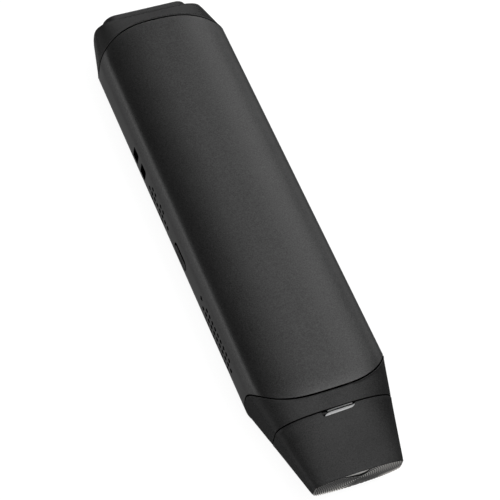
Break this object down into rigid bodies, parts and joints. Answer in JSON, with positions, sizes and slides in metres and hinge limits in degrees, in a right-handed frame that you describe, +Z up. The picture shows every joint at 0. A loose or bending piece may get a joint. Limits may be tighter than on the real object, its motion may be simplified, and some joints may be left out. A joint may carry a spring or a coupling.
{
  "type": "hdmi stick computer",
  "caption": "Stick computer with a charcoal sleeve, tapered black ends, a pull-off cap over its video plug, side vents, a power button and a cooling fan inside.",
  "frame": {"origin": "middle of the length and width, on the flat land of the underside", "axes": "+Z up, +Y from the plug cap towards the rear port, +X towards the side with the inlet, jack and side port"},
  "size_m": [0.034, 0.138, 0.015],
  "materials": {
    "sleeve_paint": "fine satin charcoal",
    "end_plastic": "satin black",
    "spun_plate": "turned rings",
    "bright_trim": "polished bevel",
    "button_plastic": "satin charcoal",
    "light_pipe": "clear",
    "black_plastic": "moulded black",
    "connector_steel": "nickel plated",
    "contact_gold": "gold plated",
    "tray_metal": "cast",
    "board_laminate": "solder mask",
    "chip_resin": "moulded",
    "pad_rubber": "soft",
    "sink_metal": "copper toned",
    "lead_rubber": "satin"
  },
  "bodies": {
    "chassis": {"outer_sleeve": "sleeve_paint", "rear_end_cap": "end_plastic", "front_collar": "end_plastic", "power_switch": "black_plastic", "status_light": "light_pipe", "status_led": "light_pipe", "strap_pocket": "black_plastic", "hdmi_plug_shell": "connector_steel", "hdmi_plug_insulator": "black_plastic", "hdmi_contacts": "contact_gold", "rear_usb_shell": "connector_steel", "rear_usb_tongue": "black_plastic", "rear_usb_contacts": "contact_gold", "side_usb_shell": "connector_steel", "side_usb_tongue": "black_plastic", "side_usb_contacts": "contact_gold", "power_inlet_shell": "connector_steel", "power_inlet_tongue": "black_plastic", "audio_jack": "black_plastic", "inner_tray": "tray_metal", "main_board": "board_laminate", "board_screws": "connector_steel", "processor": "chip_resin", "thermal_pad": "pad_rubber", "heat_sink": "sink_metal", "memory_chips": "chip_resin", "storage_chip": "chip_resin", "wireless_module": "connector_steel", "antenna_plates": "contact_gold", "antenna_leads": "lead_rubber", "fan_housing": "black_plastic", "fan_cover": "connector_steel", "fan_shaft": "connector_steel"},
    "cap": {"plug_cap": "end_plastic", "cap_end_plate": "spun_plate", "cap_notch_trim": "bright_trim"},
    "button": {"power_button": "button_plastic", "switch_plunger": "black_plastic"},
    "rotor": {"fan_impeller": "black_plastic"}
  },
  "joints": [
    {"name": "cap_pull", "type": "slide", "parent": "chassis", "child": "cap", "axis": [0, -1, 0], "range_m": [0, 0.02]},
    {"name": "button_press", "type": "slide", "parent": "chassis", "child": "button", "axis": [1, 0, 0], "range_m": [0, 0.0004], "stiffness_N_per_m": 2000},
    {"name": "fan_spin", "type": "hinge", "parent": "chassis", "child": "rotor", "pos_m": [-0.001, -0.0265, 0.0075], "axis": [0, 0, 1], "continuous": true}
  ]
}
